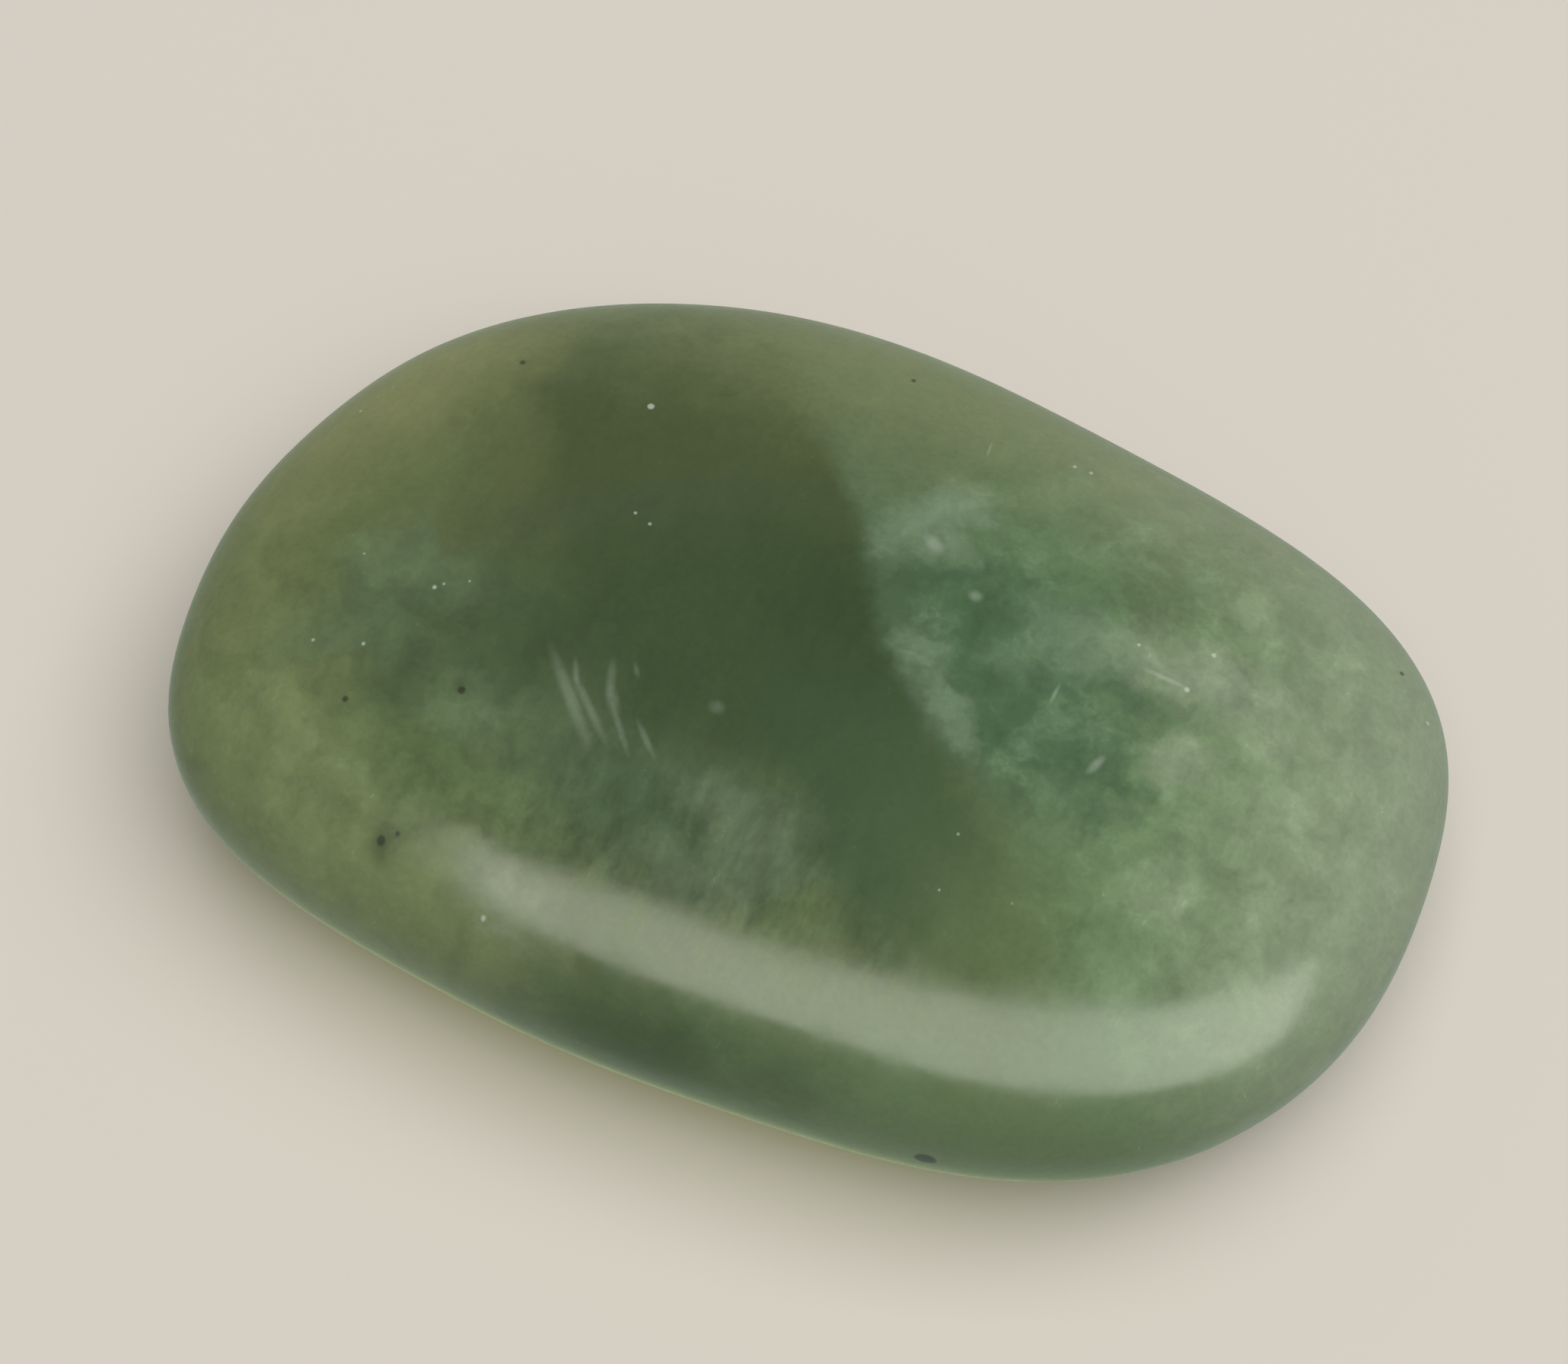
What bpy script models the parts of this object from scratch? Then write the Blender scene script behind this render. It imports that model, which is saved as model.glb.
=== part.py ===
"""A tumbled and polished bowenite stone, 48 mm long, as one closed solid.

Metres, +Z up, the long way along X and the broader end at +X.  The stone lies on the
small flat under it, and the origin is the middle of its bounding box's base, on that flat.
"""
import bmesh
import bpy
import numpy as np
from mathutils import Vector

MM = 0.001

# The stone's widest line, seen from above.
HALF_LENGTH = 23.4 * MM       # along X, before OUTLINE
HALF_WIDTH = 15.2 * MM        # along Y, before OUTLINE
OUTLINE = (                   # distance out as a share of that oval, every 18 degrees from +X
    1.024, 1.054, 1.053, 0.994, 0.972,
    1.016, 1.059, 1.063, 1.034, 1.006,
    1.018, 1.070, 1.116, 1.056, 1.013,
    1.016, 1.081, 1.130, 1.094, 1.043,
)

# The stone's side view.
WAIST = 6.0 * MM              # height of the widest line above the table
CROWN = 8.0 * MM              # rise from the widest line to the top
KEEL = 6.2 * MM               # drop from the widest line, a little of it ground off flat
CROWN_FULLNESS = 2.4          # 2 is an ellipse, more is flatter on top with a rounder shoulder
KEEL_FULLNESS = 2.5

# Low swells that tumbling left on the top: middle x, y, reach along and across, turn, height.
SWELLS = (
    (9.0 * MM, 2.5 * MM, 9.0 * MM, 6.0 * MM, 20.0, 0.22 * MM),
    (-12.0 * MM, 1.0 * MM, 7.0 * MM, 5.5 * MM, -15.0, 0.18 * MM),
    (-1.5 * MM, 5.0 * MM, 6.0 * MM, 4.0 * MM, 10.0, -0.16 * MM),
)

SEGMENTS = 84                 # round the stone
RINGS = 42                    # from keel to crown


def oval_share(bearing):
    """Smooth closed curve through OUTLINE, read at a bearing in radians."""
    waves = np.fft.rfft(OUTLINE) / len(OUTLINE)
    order = np.arange(len(waves))
    weight = np.full(len(waves), 2.0)
    weight[0] = 1.0
    weight[-1] = 1.0
    turn = np.multiply.outer(bearing, order)
    return (weight * (waves.real * np.cos(turn) - waves.imag * np.sin(turn))).sum(axis=-1)


def stone_point(way):
    """Surface points for directions out of the middle of the stone, one per row.

    Each direction is followed until flat distance over the outline, and height over
    the crown or keel, raised to the fullness, add up to one.
    """
    lengthwise = way[:, 0] / HALF_LENGTH
    crosswise = way[:, 1] / HALF_WIDTH
    level = np.hypot(lengthwise, crosswise) / oval_share(np.arctan2(crosswise, lengthwise))
    above = way[:, 2] > 0.0
    rise = np.abs(way[:, 2]) / np.where(above, CROWN, KEEL)
    fullness = np.where(above, CROWN_FULLNESS, KEEL_FULLNESS)
    reach = (level ** fullness + rise ** fullness) ** (-1.0 / fullness)
    point = way * reach[:, None]
    top = np.clip(point[:, 2] / CROWN, 0.0, 1.0)
    top = top * top * (3.0 - 2.0 * top)
    lift = np.zeros(len(point))
    for x, y, long_reach, short_reach, degrees, height in SWELLS:
        turn = np.radians(degrees)
        east = point[:, 0] - x
        north = point[:, 1] - y
        u = (east * np.cos(turn) + north * np.sin(turn)) / long_reach
        v = (north * np.cos(turn) - east * np.sin(turn)) / short_reach
        lift += height * np.exp(-u * u - v * v)
    point[:, 2] += lift * top
    return point


def build_stone(home):
    """A sphere's faces, moved onto the stone's surface and ground flat underneath."""
    mesh = bmesh.new()
    bmesh.ops.create_uvsphere(mesh, u_segments=SEGMENTS, v_segments=RINGS, radius=1.0)
    way = np.array([vert.co for vert in mesh.verts])
    way *= (HALF_LENGTH, HALF_WIDTH, 0.5 * (CROWN + KEEL))
    way /= np.linalg.norm(way, axis=1, keepdims=True)
    point = stone_point(way)
    point[:, 2] += WAIST
    low = point[:, :2].min(axis=0)
    high = point[:, :2].max(axis=0)
    point[:, :2] -= 0.5 * (low + high)
    for vert, place in zip(mesh.verts, point):
        vert.co = Vector(place)
    every = mesh.verts[:] + mesh.edges[:] + mesh.faces[:]
    cut = bmesh.ops.bisect_plane(
        mesh, geom=every, dist=1e-7, plane_co=(0, 0, 0), plane_no=(0, 0, 1), clear_inner=True)
    rim = [item for item in cut["geom_cut"] if isinstance(item, bmesh.types.BMEdge)]
    foot = bmesh.ops.contextual_create(mesh, geom=rim)["faces"]
    bmesh.ops.recalc_face_normals(mesh, faces=mesh.faces[:])
    for face in mesh.faces:
        face.smooth = True
    for face in foot:
        face.smooth = False
    data = bpy.data.meshes.new("polished_bowenite")
    mesh.to_mesh(data)
    mesh.free()
    stone = bpy.data.objects.new("polished_bowenite", data)
    home.objects.link(stone)
    return stone


def polished_green():
    """Plain green of the polished stone."""
    paint = bpy.data.materials.new("bowenite")
    paint.use_nodes = True
    shader = paint.node_tree.nodes["Principled BSDF"]
    shader.inputs["Base Color"].default_value = (0.12, 0.17, 0.08, 1.0)
    shader.inputs["Roughness"].default_value = 0.2
    shader.inputs["Metallic"].default_value = 0.0
    return paint


for leftover in list(bpy.data.objects):
    bpy.data.objects.remove(leftover, do_unlink=True)

collection = bpy.data.collections.new("polished_bowenite")
bpy.context.scene.collection.children.link(collection)

stone = build_stone(collection)
stone.data.materials.append(polished_green())
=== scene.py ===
import math

import bpy
import numpy as np
from mathutils import Matrix, Vector


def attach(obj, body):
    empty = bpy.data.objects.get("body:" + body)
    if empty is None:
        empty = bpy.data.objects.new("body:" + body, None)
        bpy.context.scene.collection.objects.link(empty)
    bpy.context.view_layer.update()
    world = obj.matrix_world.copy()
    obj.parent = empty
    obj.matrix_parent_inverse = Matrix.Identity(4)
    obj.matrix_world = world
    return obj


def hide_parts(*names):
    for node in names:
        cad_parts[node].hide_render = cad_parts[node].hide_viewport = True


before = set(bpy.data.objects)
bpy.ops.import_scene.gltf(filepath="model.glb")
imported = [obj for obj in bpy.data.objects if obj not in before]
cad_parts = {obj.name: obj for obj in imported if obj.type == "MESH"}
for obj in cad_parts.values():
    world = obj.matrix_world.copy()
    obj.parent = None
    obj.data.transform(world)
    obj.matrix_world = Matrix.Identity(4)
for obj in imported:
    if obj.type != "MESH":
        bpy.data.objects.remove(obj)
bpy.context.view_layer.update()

MM = 0.001


# Camera. The stone lies on a table and is looked at from above and a little to its right,
# so its near flank shows under the shoulder. No shift and no blur.

CAMERA_AZIMUTH = math.radians(16.5)
CAMERA_ELEVATION = math.radians(66.0)
CAMERA_DISTANCE = 160.0 * MM
CAMERA_AIM = Vector((-1.47, 1.24, 6.0)) * MM
CAMERA_LENS = 96.5


def turn_to_face(place, aim):
    """Matrix of a camera or lamp at place that looks at aim, with its top side up."""
    return Matrix.LocRotScale(place, (aim - place).to_track_quat("-Z", "Y"), None)


def around(aim, azimuth, elevation, distance):
    """Point at a distance from aim: azimuth 0 is in front at -Y, turning towards +X."""
    flat = math.cos(elevation) * distance
    return aim + Vector((
        math.sin(azimuth) * flat, -math.cos(azimuth) * flat, math.sin(elevation) * distance))


lens = bpy.data.cameras.new("camera")
lens.lens = CAMERA_LENS
lens.sensor_width = 36.0
lens.clip_start = 0.01
camera = bpy.data.objects.new("camera", lens)
camera.matrix_world = turn_to_face(
    around(CAMERA_AIM, CAMERA_AZIMUTH, CAMERA_ELEVATION, CAMERA_DISTANCE), CAMERA_AIM)
bpy.context.scene.collection.objects.link(camera)
bpy.context.scene.camera = camera


# The stone's body. One pebble of bowenite, tumbled until every corner was gone and then
# polished: a flat rounded oval, fuller at one end, on a small flat spot. The form is the
# solid's own rule, here with ripples and small pits of the polished skin. Millimetres.

HALF_LENGTH = 23.4            # along X, before OUTLINE
HALF_WIDTH = 15.2             # along Y, before OUTLINE

# The solid's own outline, from a fit to the edge of the stone in the photo.
OUTLINE = (                   # distance out as a share of that oval, every 18 degrees from +X
    1.024, 1.054, 1.053, 0.994, 0.972,
    1.016, 1.059, 1.063, 1.034, 1.006,
    1.018, 1.070, 1.116, 1.056, 1.013,
    1.016, 1.081, 1.130, 1.094, 1.043,
)
WAIST = 6.0                   # height of the widest line above the table
CROWN = 8.0                   # rise from the widest line to the top
KEEL = 6.2                    # drop from the widest line
CROWN_FULLNESS = 2.4          # 2 is an ellipse, more is flatter with a rounder shoulder
KEEL_FULLNESS = 2.5

SWELLS = (                    # middle x, y, reach along and across, turn in degrees, height
    (9.0, 2.5, 9.0, 6.0, 20.0, 0.22),
    (-12.0, 1.0, 7.0, 5.5, -15.0, 0.18),
    (-1.5, 5.0, 6.0, 4.0, 10.0, -0.16),
)

RIPPLES = (                   # wavelength, direction in degrees, height
    (7.3, 25.0, 0.010),
    (5.1, 110.0, 0.007),
    (3.4, 70.0, 0.004),
    (2.1, 32.0, 0.0016),
    (1.4, 104.0, 0.0008),
)

PITS = (                      # middle x, y, radius, depth
    (-2.4, -3.8, 0.34, 0.05),
    (-3.8, -3.0, 0.22, 0.03),
    (3.0, 4.7, 0.36, 0.06),
    (5.3, 3.1, 0.30, 0.05),
    (11.1, -1.9, 0.36, 0.05),
    (-8.5, 7.6, 0.16, 0.03),
)

CELLS = (206, 130, 64)        # grid cells along X, Y and Z
GRID_BOX = (19.0, 12.0, 7.0)  # the box whose grid is pushed out onto the stone


def oval_share(bearing):
    """Smooth closed curve through OUTLINE, read at a bearing: the sum of its Fourier terms."""
    waves = np.fft.rfft(OUTLINE) / len(OUTLINE)
    order = np.arange(len(waves))
    weight = np.where((order == 0) | (order == len(OUTLINE) // 2), 1.0, 2.0)
    turn = np.multiply.outer(bearing, order)
    return (weight * (waves.real * np.cos(turn) - waves.imag * np.sin(turn))).sum(axis=-1)


def level_share(x, y):
    """How far out (x, y) lies, from 0 in the middle to 1 on the stone's widest line."""
    return np.hypot(x / HALF_LENGTH, y / HALF_WIDTH) / oval_share(
        np.arctan2(y / HALF_WIDTH, x / HALF_LENGTH))


def swell_lift(x, y):
    """Rise or dip of the low swells at (x, y): a sum of oval bell curves."""
    lift = 0.0
    for mid_x, mid_y, along, across, degrees, height in SWELLS:
        turn = math.radians(degrees)
        u = ((x - mid_x) * math.cos(turn) + (y - mid_y) * math.sin(turn)) / along
        v = ((y - mid_y) * math.cos(turn) - (x - mid_x) * math.sin(turn)) / across
        lift = lift + height * np.exp(-u * u - v * v)
    return lift


def stone_surface(way):
    """Points of the stone along directions out of its middle, one row each.

    A direction is followed to where level^n + (|z| / rise)^n = 1, with the crown's rise and
    fullness above the waist and the keel's below.  Swells, ripples and pits then lift or
    sink the top by their own bell curves and sines, and z below the table becomes 0.
    """
    rise = np.where(way[:, 2] > 0.0, CROWN, KEEL)
    fullness = np.where(way[:, 2] > 0.0, CROWN_FULLNESS, KEEL_FULLNESS)
    level = level_share(way[:, 0], way[:, 1])
    reach = (level ** fullness + (np.abs(way[:, 2]) / rise) ** fullness) ** (-1.0 / fullness)
    x, y, z = (way * reach[:, None]).T
    upper = np.clip(z / CROWN, 0.0, 1.0)
    upper = upper * upper * (3.0 - 2.0 * upper)
    lift = swell_lift(x, y)
    for wavelength, degrees, height in RIPPLES:
        turn = math.radians(degrees)
        lift += height * np.sin(
            math.tau / wavelength * (x * math.cos(turn) + y * math.sin(turn)) + wavelength)
    for mid_x, mid_y, radius, depth in PITS:
        distance = np.hypot(x - mid_x, y - mid_y) / radius
        lift -= depth * np.exp(-distance ** 4)
    z = np.maximum(z + lift * upper + WAIST, 0.0)
    x = x - 0.5 * (x.min() + x.max())
    y = y - 0.5 * (y.min() + y.max())
    return np.column_stack((x, y, z))


def box_grid(cells, half):
    """Corners and quads of a grid on the six sides of a box, each corner once.

    Every side is a grid of two whole-number coordinates with the third held at 0 or its
    most; the three numbers of a corner give its place in the box.
    """
    quads = []
    for held in range(3):
        first, second = (held + 1) % 3, (held + 2) % 3
        i, j = np.meshgrid(np.arange(cells[first]), np.arange(cells[second]), indexing="ij")
        for end in (0, 1):
            corner = np.zeros((i.size, 4, 3), dtype=np.int64)
            steps = ((0, 0), (1, 0), (1, 1), (0, 1)) if end else ((0, 0), (0, 1), (1, 1), (1, 0))
            for n, (di, dj) in enumerate(steps):
                corner[:, n, first] = i.ravel() + di
                corner[:, n, second] = j.ravel() + dj
                corner[:, n, held] = end * cells[held]
            quads.append(corner)
    corner = np.concatenate(quads)
    span = np.array(cells) + 1
    key = (corner[..., 0] * span[1] + corner[..., 1]) * span[2] + corner[..., 2]
    unique, index = np.unique(key, return_inverse=True)
    lattice = np.column_stack((
        unique // (span[1] * span[2]), unique // span[2] % span[1], unique % span[2]))
    place = (2.0 * lattice / np.array(cells) - 1.0) * np.array(half)
    return place, index.reshape(-1, 4)


def mesh_object(name, points, quads):
    """A smooth mesh object in the scene from arrays of points in metres and of quads."""
    mesh = bpy.data.meshes.new(name)
    mesh.vertices.add(len(points))
    mesh.vertices.foreach_set("co", points.astype(np.float32).ravel())
    mesh.loops.add(quads.size)
    mesh.loops.foreach_set("vertex_index", quads.astype(np.int32).ravel())
    mesh.polygons.add(len(quads))
    mesh.polygons.foreach_set("loop_start", np.arange(0, quads.size, 4, dtype=np.int32))
    mesh.update(calc_edges=True)
    mesh.validate()
    mesh.shade_smooth()
    made = bpy.data.objects.new(name, mesh)
    bpy.context.scene.collection.objects.link(made)
    return made


corners, quads = box_grid(CELLS, GRID_BOX)
way = corners / np.linalg.norm(corners, axis=1, keepdims=True)
stone = mesh_object("polished_stone", stone_surface(way) * MM, quads)
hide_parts("polished_bowenite")
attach(stone, "root")


# The stone's colour and skin. Bowenite is milky green with a clear, darker window in the
# middle, olive towards the thin end and grey-green at the broad one, where it and the far
# edge are paler partly from their own veil and partly from a painted soft reflection. A pale
# spot is a painted highlight, and a faint glow and a paler near edge low down are painted
# light coming through the stone. The polish is soft and varies a little with clouds and
# fibres, with white pin-pricks and dark specks.


class Wire:
    """A shader socket that Python arithmetic works on: each operation adds a Math node."""

    def __init__(self, tree, socket=None):
        self.tree = tree
        self.socket = socket

    def node(self, kind, settings=None, sockets=None, output=0):
        """Adds one node: its settings first, then values or links for its sockets."""
        made = self.tree.nodes.new(kind)
        for name, value in (settings or {}).items():
            if name == "curve":
                bend_curve(made.mapping, value)
            else:
                setattr(made, name, value)
        for name, value in (sockets or {}).items():
            if isinstance(value, Wire):
                self.tree.links.new(value.socket, made.inputs[name])
            else:
                made.inputs[name].default_value = value
        return Wire(self.tree, made.outputs[output] if made.outputs else None)

    def math(self, operation, *values):
        """This signal and others through one Math node."""
        sockets = dict(enumerate((self, *values)))
        return self.node("ShaderNodeMath", {"operation": operation}, sockets)

    def vector(self, operation, *values):
        """This colour or place and others through one Vector Math node."""
        number = 1 if operation == "DISTANCE" else 0
        sockets = dict(enumerate((self, *values)))
        return self.node("ShaderNodeVectorMath", {"operation": operation}, sockets, number)

    def __add__(self, other):
        return self.math("ADD", other)

    __radd__ = __add__

    def __sub__(self, other):
        return self.math("SUBTRACT", other)

    def __rsub__(self, other):
        return self.math("MULTIPLY_ADD", -1.0, other)

    def __mul__(self, other):
        return self.math("MULTIPLY", other)

    __rmul__ = __mul__

    def over(self, other):
        """The larger of two signals."""
        return self.math("MAXIMUM", other)

    def scaled(self, factor):
        """A colour or place made longer by a number."""
        return self.node(
            "ShaderNodeVectorMath", {"operation": "SCALE"}, {0: self, "Scale": factor})

    def step(self, low, high, bottom=0.0, top=1.0):
        """Smooth step from bottom at low to top at high; low may be above high."""
        flip = low > high
        return self.node(
            "ShaderNodeMapRange", {"interpolation_type": "SMOOTHSTEP"},
            {"Value": self, "From Min": min(low, high), "From Max": max(low, high),
             "To Min": top if flip else bottom, "To Max": bottom if flip else top})


def bend_curve(mapping, points):
    """Puts a Float Curve's points where they are asked for, the first and last included."""
    curve = mapping.curves[0]
    curve.points[0].location = points[0]
    curve.points[1].location = points[-1]
    for point in points[1:-1]:
        curve.points.new(*point)
    mapping.update()


finish = bpy.data.materials.new("bowenite_polished")
finish.use_nodes = True
finish.cycles.emission_sampling = "NONE"  # the faint glow isn't a lamp, so it needs no rays
finish.node_tree.nodes.clear()
start = Wire(finish.node_tree)

# Everything is read in millimetres of the stone, plain or pulled about so that edges wander.
metres = start.node("ShaderNodeTexCoord", output=3)


def in_millimetres(at):
    return start.node("ShaderNodeMapping", {}, {"Vector": at, "Scale": (1000.0, 1000.0, 1000.0)})


place = in_millimetres(metres)


def cloud(at, scale, detail=4.0, roughness=0.55, stretch=None, turn=0.0, output=0):
    """Soft noise round 0.5, scale in waves a millimetre; stretch lengthens it along a turn."""
    if stretch:
        at = start.node(
            "ShaderNodeMapping", {"vector_type": "TEXTURE"},
            {"Vector": at, "Rotation": (0.0, 0.0, math.radians(turn)), "Scale": stretch})
    return start.node(
        "ShaderNodeTexNoise", {},
        {"Vector": at, "Scale": scale, "Detail": detail, "Roughness": roughness}, output)


def pull(scale, detail, reach):
    """The place moved by up to about a quarter of reach, smoothly."""
    push = cloud(place, scale, detail, 0.6, output=1).vector("SUBTRACT", (0.5, 0.5, 0.5))
    reach = (reach * MM, reach * MM, reach * MM)
    return in_millimetres(push.vector("MULTIPLY_ADD", reach, metres))


drift = pull(0.38, 4.0, 3.4)
calm = pull(0.9, 2.0, 0.8)
ragged = cloud(place, 0.75, detail=5.0, roughness=0.62) - 0.5


def patch(x, y, along, across, turn=0.0, soft=0.5, rough=1.0, strength=1.0, at=drift):
    """A mask of one upright oval column: strength inside, 0 outside.

    Its edge fades from 1 - soft to 1 + soft of the oval and is frayed by rough.  The ball
    gradient falls from 1 in the middle to 0 where the oval is far times its size.
    """
    far = 1.0 + soft + 0.5 * rough
    inside = start.node(
        "ShaderNodeMapping", {"vector_type": "TEXTURE"},
        {"Vector": at, "Location": (x, y, 0.0), "Rotation": (0.0, 0.0, math.radians(turn)),
         "Scale": (along * far, across * far, 1000.0 * far)})
    ball = start.node("ShaderNodeTexGradient", {"gradient_type": "SPHERICAL"}, {0: inside}, 1)
    if rough:
        ball = ragged.math("MULTIPLY_ADD", -rough / far, ball)
    return ball.step(1.0 - (1.0 + soft) / far, 1.0 - (1.0 - soft) / far, 0.0, strength)


REACH_EAST = 30.0             # how far out the line's curve can run, east or west
REACH_NORTH = 20.0            # and north or south


def past(line, at):
    """Millimetres east of a smooth line through (x, y) points from south to north."""
    x = start.node("ShaderNodeSeparateXYZ", {}, {0: at}, 0)
    y = start.node("ShaderNodeSeparateXYZ", {}, {0: at}, 1)
    wide = 2.0 * REACH_EAST
    tall = 2.0 * REACH_NORTH
    points = [((north + REACH_NORTH) / tall, (east + REACH_EAST) / wide) for east, north in line]
    edge = start.node(
        "ShaderNodeFloatCurve", {"curve": points}, {"Value": (y + REACH_NORTH) * (1.0 / tall)})
    return x - edge * wide + REACH_EAST


def blend(under, over, amount):
    """One colour laid over another."""
    return start.node("ShaderNodeMix", {"data_type": "RGBA"}, {0: amount, 6: under, 7: over}, 2)


def lay(colour, patches, at=drift):
    """A colour with a list of patches laid over it in turn."""
    for tint, strength, x, y, along, across, turn, soft, rough in patches:
        colour = blend(colour, tint, patch(x, y, along, across, turn, soft, rough, strength, at))
    return colour


OLIVE = (0.112, 0.146, 0.055, 1.0)
OLIVE_LIGHT = (0.170, 0.206, 0.076, 1.0)
GOLD = (0.255, 0.268, 0.108, 1.0)
HAZE_AND_SHEEN = (0.210, 0.238, 0.112, 1.0)
BROWN_SHADE = (0.059, 0.084, 0.026, 1.0)
BROWN = (0.082, 0.098, 0.034, 1.0)
SLATE = (0.057, 0.082, 0.036, 1.0)
DEEP = (0.040, 0.071, 0.022, 1.0)
DEEPEST = (0.030, 0.057, 0.016, 1.0)
DEEP_LEAF = (0.041, 0.079, 0.027, 1.0)
MOSS = (0.070, 0.106, 0.043, 1.0)
DARK_MOSS = (0.055, 0.085, 0.032, 1.0)
LEAF = (0.105, 0.158, 0.060, 1.0)
SAGE = (0.188, 0.242, 0.102, 1.0)
SMOKE = (0.058, 0.098, 0.042, 1.0)
SMOKE_LIGHT = (0.098, 0.142, 0.074, 1.0)
TEAL_GREY = (0.128, 0.188, 0.092, 1.0)
GREEN = (0.118, 0.192, 0.090, 1.0)
OLIVE_GREEN = (0.104, 0.154, 0.072, 1.0)
DARK_LEAF = (0.056, 0.098, 0.036, 1.0)
TEAL_SHADE = (0.052, 0.098, 0.044, 1.0)
TEAL_DARK = (0.062, 0.122, 0.055, 1.0)
TEAL_MILK = (0.190, 0.270, 0.168, 1.0)
APPLE = (0.168, 0.250, 0.122, 1.0)
VEIL_AND_SHEEN = (0.262, 0.322, 0.212, 1.0)
FLANK_GREEN = (0.130, 0.202, 0.090, 1.0)
PAINTED_EDGE_LIGHT = (0.185, 0.280, 0.140, 1.0)
MILK = (0.300, 0.380, 0.270, 1.0)
PAINTED_HIGHLIGHT = (0.300, 0.350, 0.230, 1.0)
PALE = (0.500, 0.580, 0.470, 1.0)
STAIN = (0.035, 0.045, 0.014, 1.0)
SPECK = (0.018, 0.022, 0.008, 1.0)
PAINTED_GLOW = (0.172, 0.184, 0.034, 1.0)

# The ground colours west and east of the clear window's sharp edge, and that edge itself.
GROUND_WEST = OLIVE
GROUND_EAST = GREEN
EAST_EDGE = (
    (14.0, -20.0), (10.8, -10.0), (8.5, -6.0), (6.8, -3.8), (4.8, -2.1), (3.05, -0.4),
    (1.85, 1.6), (0.85, 4.0), (0.05, 5.4), (-0.9, 6.8), (-2.5, 9.5), (-4.0, 20.0),
)
WEST_PATCHES = (              # colour, strength, x, y, along, across, turn, soft, rough
    (OLIVE_LIGHT, 1.0, -23.0, -1.0, 3.6, 14.0, 0.0, 0.9, 0.3),
    (GOLD, 1.0, -20.0, 9.5, 8.0, 4.6, 45.0, 0.95, 0.3),
    (BROWN, 0.6, -11.5, 4.5, 2.6, 7.0, 8.0, 0.7, 0.3),
    (BROWN_SHADE, 1.0, -4.3, 7.5, 7.9, 9.5, 6.0, 0.16, 0.3),
    (MOSS, 1.0, -11.5, -3.4, 5.4, 3.4, -6.0, 0.45, 0.8),
    (SLATE, 0.7, -7.0, 3.4, 6.0, 1.0, 19.0, 0.8, 0.3),
    (DEEP, 1.0, -1.5, -0.8, 9.6, 5.0, 11.0, 0.4, 0.4),
    (DEEPEST, 0.7, 1.0, 0.0, 2.4, 3.4, 35.0, 0.9, 0.4),
    (DEEP_LEAF, 1.0, 3.8, -5.7, 5.8, 2.9, -44.0, 0.5, 0.5),
    (SMOKE, 1.0, -3.5, -7.8, 5.8, 2.6, -6.0, 0.7, 0.8),
    (LEAF, 0.9, -11.5, -8.4, 4.6, 2.0, -6.0, 0.7, 1.0),
    (SAGE, 0.9, -17.5, -9.0, 4.5, 2.6, -38.0, 0.9, 1.0),
    (SAGE, 1.0, -13.0, -12.9, 7.5, 1.8, -14.0, 0.6, 0.6),
    (MOSS, 0.8, -14.6, -4.0, 1.6, 0.8, 10.0, 0.8, 1.0),
    (MOSS, 0.6, -14.0, -5.8, 1.6, 1.0, 10.0, 0.8, 1.0),
    (DARK_MOSS, 0.7, -13.2, -3.1, 1.4, 0.8, 0.0, 0.8, 1.0),
    (TEAL_GREY, 0.6, -16.2, -0.9, 1.5, 1.0, 0.0, 0.8, 1.6),
    (TEAL_GREY, 0.5, -14.2, -1.3, 2.1, 0.8, -10.0, 0.8, 1.8),
    (TEAL_GREY, 0.4, -14.9, 0.0, 0.5, 1.0, 20.0, 0.8, 1.0),
    (TEAL_GREY, 0.45, -15.6, -3.4, 1.7, 1.5, 0.0, 0.8, 1.8),
    (TEAL_GREY, 0.45, -18.2, -4.4, 1.5, 1.1, 0.0, 0.8, 1.6),
    (TEAL_GREY, 0.7, -10.6, -6.0, 1.8, 1.2, 15.0, 0.7, 1.4),
    (TEAL_GREY, 0.25, -7.2, -5.4, 1.6, 1.0, -50.0, 0.8, 1.0),
    (SMOKE_LIGHT, 1.0, -1.2, -7.6, 2.3, 0.9, -28.0, 0.7, 1.6),
    (SMOKE_LIGHT, 0.7, -1.8, -9.6, 2.4, 0.8, 0.0, 0.8, 1.4),
    (SMOKE_LIGHT, 0.15, -6.6, -4.7, 2.4, 1.2, -52.0, 0.9, 0.8),
    (SMOKE_LIGHT, 0.3, -7.4, -7.6, 2.0, 1.2, 0.0, 0.8, 1.4),
    (SMOKE_LIGHT, 1.0, 0.9, -8.6, 1.6, 1.5, -40.0, 0.6, 1.0),
    (LEAF, 0.7, 2.2, -10.8, 1.2, 1.4, 10.0, 0.7, 1.0),
)
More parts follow.
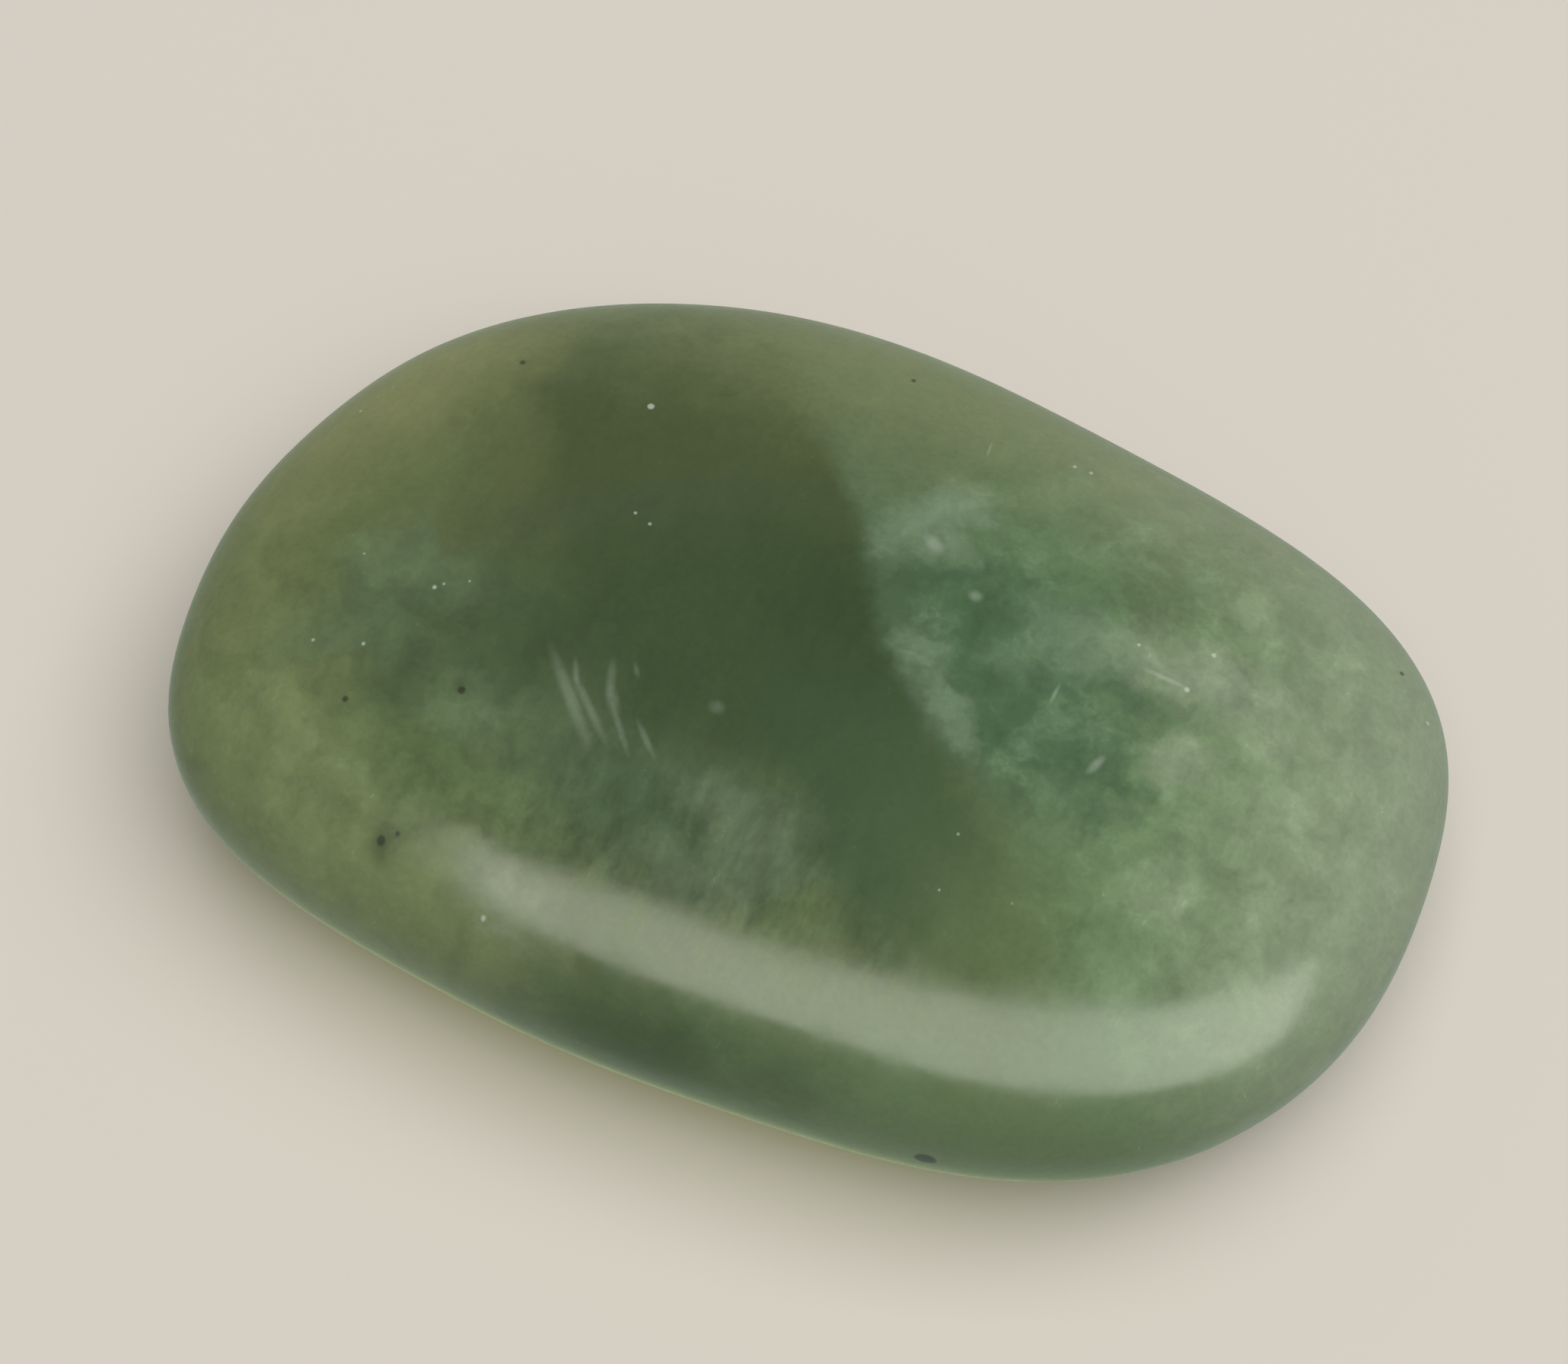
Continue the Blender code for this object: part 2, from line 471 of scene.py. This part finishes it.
EAST_PATCHES = (
    (OLIVE_GREEN, 1.0, 0.2, 9.6, 4.4, 4.4, -10.0, 0.9, 0.8),
    (APPLE, 1.0, 18.5, -1.5, 6.5, 12.0, 0.0, 0.8, 0.8),
    # The veil at the broad end and along its far edge is partly the stone's paler body and
    # partly a painted soft reflection.
    (VEIL_AND_SHEEN, 1.0, 24.0, 1.0, 6.3, 15.0, 0.0, 0.95, 0.6),
    (VEIL_AND_SHEEN, 0.9, 13.5, 13.2, 11.0, 5.0, -25.0, 0.95, 0.6),
    (TEAL_DARK, 1.0, 6.4, 0.4, 4.2, 4.2, 0.0, 0.7, 1.4),
    (TEAL_SHADE, 0.9, 3.1, 0.6, 5.2, 1.6, -60.0, 0.7, 0.8),
    (TEAL_DARK, 0.7, 9.8, -1.8, 3.4, 1.8, -10.0, 0.7, 2.2),
    (TEAL_DARK, 0.4, 11.5, 0.9, 2.2, 0.9, -10.0, 0.7, 2.0),
    (OLIVE_GREEN, 0.8, 11.7, 5.0, 1.4, 1.6, 0.0, 0.8, 1.0),
    (TEAL_MILK, 0.8, 2.7, 5.4, 1.9, 1.3, 35.0, 0.7, 1.8),
    (TEAL_MILK, 0.3, 3.8, 6.9, 1.4, 0.9, 0.0, 0.8, 1.8),
    (TEAL_MILK, 0.3, 4.6, -0.3, 1.6, 0.9, -60.0, 0.8, 1.8),
    (TEAL_MILK, 0.5, 5.5, -1.9, 1.2, 0.7, -60.0, 0.7, 1.8),
    (TEAL_MILK, 0.3, 7.2, 1.0, 1.0, 0.7, 0.0, 0.8, 1.8),
    (TEAL_MILK, 0.5, 9.4, 2.6, 2.2, 1.2, 0.0, 0.8, 1.8),
    (VEIL_AND_SHEEN, 0.75, 14.2, 2.6, 3.2, 1.3, -8.0, 0.8, 1.2),
    (VEIL_AND_SHEEN, 0.55, 14.1, -0.7, 1.15, 0.9, 10.0, 0.5, 0.5),
    (VEIL_AND_SHEEN, 0.35, 14.4, -5.8, 1.4, 0.8, 10.0, 0.7, 1.2),
)
TOP_PATCHES = (
    (DARK_LEAF, 1.0, 5.9, -6.8, 3.4, 2.8, -45.0, 0.9, 0.6),
    (LEAF, 0.7, 9.4, -9.2, 2.6, 3.2, 0.0, 0.95, 0.8),
    # A painted highlight: a pale spot at the left end of the window lamp's reflection, where it
    # is brightest.
    (PAINTED_HIGHLIGHT, 0.65, -8.2, -11.9, 2.0, 0.8, -22.0, 0.9, 1.0),
    # The haze along the far edge is partly the stone's own paler tone and partly a painted soft
    # reflection.
    (HAZE_AND_SHEEN, 1.0, -4.0, 16.9, 22.0, 5.8, -6.0, 0.95, 0.6),
    (FLANK_GREEN, 1.0, 5.0, -16.6, 16.0, 3.6, 3.0, 0.6, 0.6),
    (DARK_LEAF, 0.9, -2.2, -15.0, 3.6, 1.4, -8.0, 0.9, 1.0),
    (DARK_LEAF, 0.45, 3.4, -14.9, 1.8, 0.9, 0.0, 0.9, 1.4),
)

# The edge is sharp along its middle and softer at its ends, with a milky lip east of it.
edge = past(EAST_EDGE, calm)
north = start.node("ShaderNodeSeparateXYZ", {}, {0: place}, 1)
spread = north.step(-2.0, -8.0, 0.75, 3.6) + north.step(6.0, 11.0, 0.0, 1.6)
west = lay(GROUND_WEST, WEST_PATCHES)
east = lay(GROUND_EAST, EAST_PATCHES)
beside = edge.step(-0.5, 0.5) * edge.step(2.0, 0.3, 0.0, 0.28)
lip = beside * patch(4.8, -1.5, 4.2, 2.4, -50.0, 0.6, 1.0)
east = blend(east, TEAL_MILK, lip)

# Cottony mottling, strong in the milky east and weaker in the west, and fine fibres that
# run across the stone, plain in the smoky lower middle and faint in the window.
cotton = cloud(drift, 0.62, detail=4.0, roughness=0.55)
fibres = cloud(calm, 1.9, detail=3.0, roughness=0.6, stretch=(5.0, 1.0, 2.0), turn=80.0)
milky = patch(11.0, -0.5, 10.0, 11.0, 0.0, 0.5, 0.8)
hazy = patch(-15.0, -6.0, 9.0, 6.5, -10.0, 0.6, 0.8, 0.8)
smoky = patch(0.0, -9.4, 9.5, 3.6, -6.0, 0.6, 0.8, 0.9)
height = start.node("ShaderNodeSeparateXYZ", {}, {0: place}, 2)
sides = height.step(9.0, 4.0, 0.15, 0.6)
west = west.scaled(
    (cotton - 0.5) * (hazy + smoky * 0.6 + sides) + (fibres - 0.5) * (smoky * 0.8 + 0.16) + 1.0)
east = east.scaled((cotton - 0.5) * (milky + sides) + (fibres - 0.5) * 0.2 + 1.0)
east = blend(east, MILK, cotton.step(0.52, 0.80) * milky * 0.2)

# Pale feathery cuts under the polish, white pin-pricks, dark specks and their stained haloes.
WEST_STREAKS = (              # x, y, along, across, turn, strength
    (-7.7, -4.8, 1.50, 0.20, -53.0, 0.17),
    (-7.8, -3.8, 0.45, 0.10, -69.0, 0.14),
    (-7.0, -4.9, 1.05, 0.14, -49.0, 0.15),
    (-6.5, -3.7, 0.60, 0.14, -78.0, 0.12),
    (-6.2, -4.5, 0.50, 0.20, -62.0, 0.14),
    (-5.6, -5.5, 0.75, 0.10, -56.0, 0.12),
    (-5.7, -3.2, 0.22, 0.08, -60.0, 0.12),
    (-4.6, -5.6, 0.62, 0.10, -50.0, 0.14),
    (-2.5, -3.75, 0.24, 0.20, 0.0, 0.12),
)
EAST_STREAKS = (
    (3.2, 4.8, 0.34, 0.20, -40.0, 0.30),
    (5.25, 3.1, 0.22, 0.18, 0.0, 0.25),
    (9.0, 0.2, 0.32, 0.06, 80.0, 0.25),
    (11.1, -1.9, 0.36, 0.13, 62.0, 0.30),
    (12.6, 2.15, 0.60, 0.08, -6.0, 0.30),
    (4.0, 9.75, 0.32, 0.05, 90.0, 0.20),
)
WEST_PRICKS = (               # x, y, radius
    (-8.55, 7.65, 0.14), (-19.6, 5.7, 0.06), (-7.65, 2.9, 0.07), (-7.0, 2.6, 0.07),
    (-15.8, -4.45, 0.08), (-17.75, -4.6, 0.07), (-17.0, -0.9, 0.05), (-13.9, -1.8, 0.09),
    (-13.6, -1.6, 0.06), (-12.7, -1.3, 0.05), (-8.65, -12.65, 0.10),
    (9.6, -7.7, 0.05), (7.1, -5.9, 0.06), (7.0, -8.0, 0.05),
)
EAST_PRICKS = (
    (14.1, 3.7, 0.10), (13.5, 2.0, 0.11), (11.4, 3.1, 0.07), (7.2, 10.25, 0.08),
    (7.85, 10.2, 0.08), (22.3, 5.1, 0.08),
)
WEST_SPECKS = (
    (-15.8, -6.6, 0.11), (-11.65, -5.45, 0.14), (-13.05, -11.0, 0.16), (-12.5, -10.7, 0.08),
    (-14.0, 8.7, 0.11),
)
EAST_SPECKS = ((0.4, 12.2, 0.09), (20.9, 6.5, 0.09))
STAINS = (                    # colour, strength, x, y, along, across, turn, soft, rough
    (STAIN, 0.45, -11.6, -5.4, 0.42, 0.36, 0.0, 0.9, 0.8),
    (STAIN, 0.50, -13.0, -10.9, 0.55, 0.50, 0.0, 0.9, 0.8),
    (STAIN, 0.20, -15.5, 5.3, 0.40, 0.40, 0.0, 0.9, 0.6),
    (STAIN, 0.25, -12.5, 7.7, 0.60, 0.45, 20.0, 0.9, 1.0),
    (STAIN, 0.30, -10.0, 6.9, 0.50, 0.18, 80.0, 0.9, 0.8),
    (STAIN, 0.18, -9.4, -13.6, 0.70, 0.30, 70.0, 0.9, 1.2),
    (STAIN, 0.20, -7.1, -14.5, 0.50, 0.30, 0.0, 0.9, 1.2),
)

flat = place.vector("MULTIPLY", (1.0, 1.0, 0.0))


def nearest(spots):
    """How far inside the nearest of some round spots a place lies, in millimetres."""
    inside = None
    for x, y, radius in spots:
        depth = radius - flat.vector("DISTANCE", (x, y, 0.0))
        inside = depth if inside is None else inside.over(depth)
    return inside


# Fine grain, a faint painted glow low on the stone in place of light that soaks out near the
# foot, the chip on the near flank, and the thin edge there painted paler as if lit through.
GRAIN_DEPTH = 0.28
CHIP_PLACE = (8.85, -15.55, 6.35)

grain = (cloud(place, 3.6, detail=2.0, roughness=0.7) - 0.5) * GRAIN_DEPTH + 1.0
# A painted glow: the lower part of the near side glows faintly, in place of light soaking out
# through the stone.
painted_glow_reach = height.step(6.4, 3.2) * patch(-5.0, -14.0, 20.0, 12.0, -10.0, 0.6, 0.0, 1.0, place)
glow = blend((0.0, 0.0, 0.0, 1.0), PAINTED_GLOW, painted_glow_reach)
chip = place.vector("DISTANCE", CHIP_PLACE) + ragged * 0.4
# Painted light: the near flank from the waist down is made paler, in place of light coming
# through the thin edge.
painted_edge_reach = height.step(7.6, 5.0, 0.0, 0.6) * patch(5.0, -16.6, 16.0, 4.0, 3.0, 0.6, 0.0, 1.0, place)


POLISH = 0.21                 # roughness of the soft polish
CLOUDED_POLISH = 0.24         # how much the clouds and the fibres change it
FIBRED_POLISH = 0.20
REFRACTION = 1.56             # the stone's index of refraction
CLEARNESS = 0.4               # share of the light that goes under the skin
LIGHT_REACH = (1.0, 1.4, 0.7)  # how far it goes there in red, green and blue, millimetres
PRICK_STRENGTH = 0.75
SPECK_STRENGTH = 0.8
CHIP_STRENGTH = 0.95


def polished(colour, streaks, pricks, specks):
    """The stone's skin over a body colour, with the marks of one side of the clear edge."""
    colour = blend(lay(colour, TOP_PATCHES), PAINTED_EDGE_LIGHT, painted_edge_reach)
    for x, y, along, across, turn, strength in streaks:
        cut = patch(x, y, along, across, turn, 0.8, 0.6, strength, place)
        colour = blend(colour, PALE, cut)
    colour = blend(colour, PALE, nearest(pricks).step(-0.03, 0.06) * PRICK_STRENGTH)
    colour = blend(colour, SPECK, nearest(specks).step(-0.06, 0.06) * SPECK_STRENGTH)
    colour = blend(colour, SPECK, chip.step(0.52, 0.30) * CHIP_STRENGTH)
    roughness = (cotton - 0.5) * CLOUDED_POLISH + (fibres - 0.5) * FIBRED_POLISH + POLISH
    return start.node(
        "ShaderNodeBsdfPrincipled", {"subsurface_method": "RANDOM_WALK"},
        {"Base Color": colour.scaled(grain), "Roughness": roughness, "IOR": REFRACTION,
         "Subsurface Weight": CLEARNESS, "Subsurface Radius": LIGHT_REACH,
         "Subsurface Scale": MM, "Emission Color": glow, "Emission Strength": 1.0})


west = lay(west, STAINS, calm)
skin = start.node("ShaderNodeMixShader", {}, {
    0: edge.math("DIVIDE", spread).step(-1.0, 1.0),
    1: polished(west, WEST_STREAKS, WEST_PRICKS, WEST_SPECKS),
    2: polished(east, EAST_STREAKS, EAST_PRICKS, EAST_SPECKS)})
start.node("ShaderNodeOutputMaterial", {}, {"Surface": skin})
stone.data.materials.append(finish)


# The table. A plain, pale, matt top that the stone lies on and that fills the view. The
# stone doesn't mirror it.

TABLE_REACH = 1.5
TABLE_COLOUR = (0.675, 0.634, 0.575, 1.0)

table_top = np.array([(-1, -1, 0), (1, -1, 0), (1, 1, 0), (-1, 1, 0)]) * TABLE_REACH
table = mesh_object("table_top", table_top, np.array([[0, 1, 2, 3]]))
matt = bpy.data.materials.new("matt_table")
matt.use_nodes = True
matt_skin = matt.node_tree.nodes["Principled BSDF"]
matt_skin.inputs["Base Color"].default_value = TABLE_COLOUR
matt_skin.inputs["Roughness"].default_value = 0.9
matt_skin.inputs["Specular IOR Level"].default_value = 0.1
table.data.materials.append(matt)
table.visible_glossy = False


# Light. A soft room all round, a large soft lamp almost overhead and a little to the right,
# and in front a wide window whose reflection makes the pale band along the near shoulder.


def soft_lamp(name, place, aim, size, glow, tint=(1.0, 1.0, 1.0), roll=0.0):
    """A rectangular lamp that faces aim; glow is its brightness where white paper is 1."""
    data = bpy.data.lights.new(name, "AREA")
    data.shape = "RECTANGLE"
    data.size, data.size_y = size
    data.energy = glow * math.pi * size[0] * size[1]
    data.color = tint
    lamp = bpy.data.objects.new(name, data)
    lamp.matrix_world = turn_to_face(place, aim) @ Matrix.Rotation(math.radians(roll), 4, "Z")
    bpy.context.scene.collection.objects.link(lamp)
    return lamp


middle = Vector((0.0, 0.0, 7.0 * MM))

KEY_PLACE = around(middle, math.radians(95.0), math.radians(77.0), 1.2)
KEY_SIZE = (1.35, 1.35)
KEY_GLOW = 2.9
KEY_TINT = (1.0, 0.985, 0.96)

key = soft_lamp("key", KEY_PLACE, middle, KEY_SIZE, KEY_GLOW, KEY_TINT)
key.visible_glossy = False

PANE_PLACE = around(middle, math.radians(33.0), math.radians(40.0), 0.8)
PANE_SIZE = (1.80, 0.56)
PANE_GLOW = 3.6
PANE_TINT = (0.98, 1.0, 0.88)
PANE_ROLL = -17.0

pane = soft_lamp("window", PANE_PLACE, middle, PANE_SIZE, PANE_GLOW, PANE_TINT, PANE_ROLL)
pane.visible_diffuse = False

ROOM_TINT = (0.99, 0.99, 1.0, 1.0)
MIRRORED_TINT = (0.84, 1.0, 0.83, 1.0)
ROOM_GLOW = 0.20              # and as much again where the stone mirrors the room

room = bpy.data.worlds.new("room")
room.use_nodes = True
room.node_tree.nodes.clear()
air = Wire(room.node_tree)
mirrored = air.node("ShaderNodeLightPath", output=3)
tint = air.node(
    "ShaderNodeMix", {"data_type": "RGBA"}, {0: mirrored, 6: ROOM_TINT, 7: MIRRORED_TINT}, 2)
air = air.node(
    "ShaderNodeBackground", {}, {"Color": tint, "Strength": mirrored * ROOM_GLOW + ROOM_GLOW})
air.node("ShaderNodeOutputWorld", {}, {"Surface": air})
bpy.context.scene.world = room
bpy.context.scene.view_settings.view_transform = "Standard"
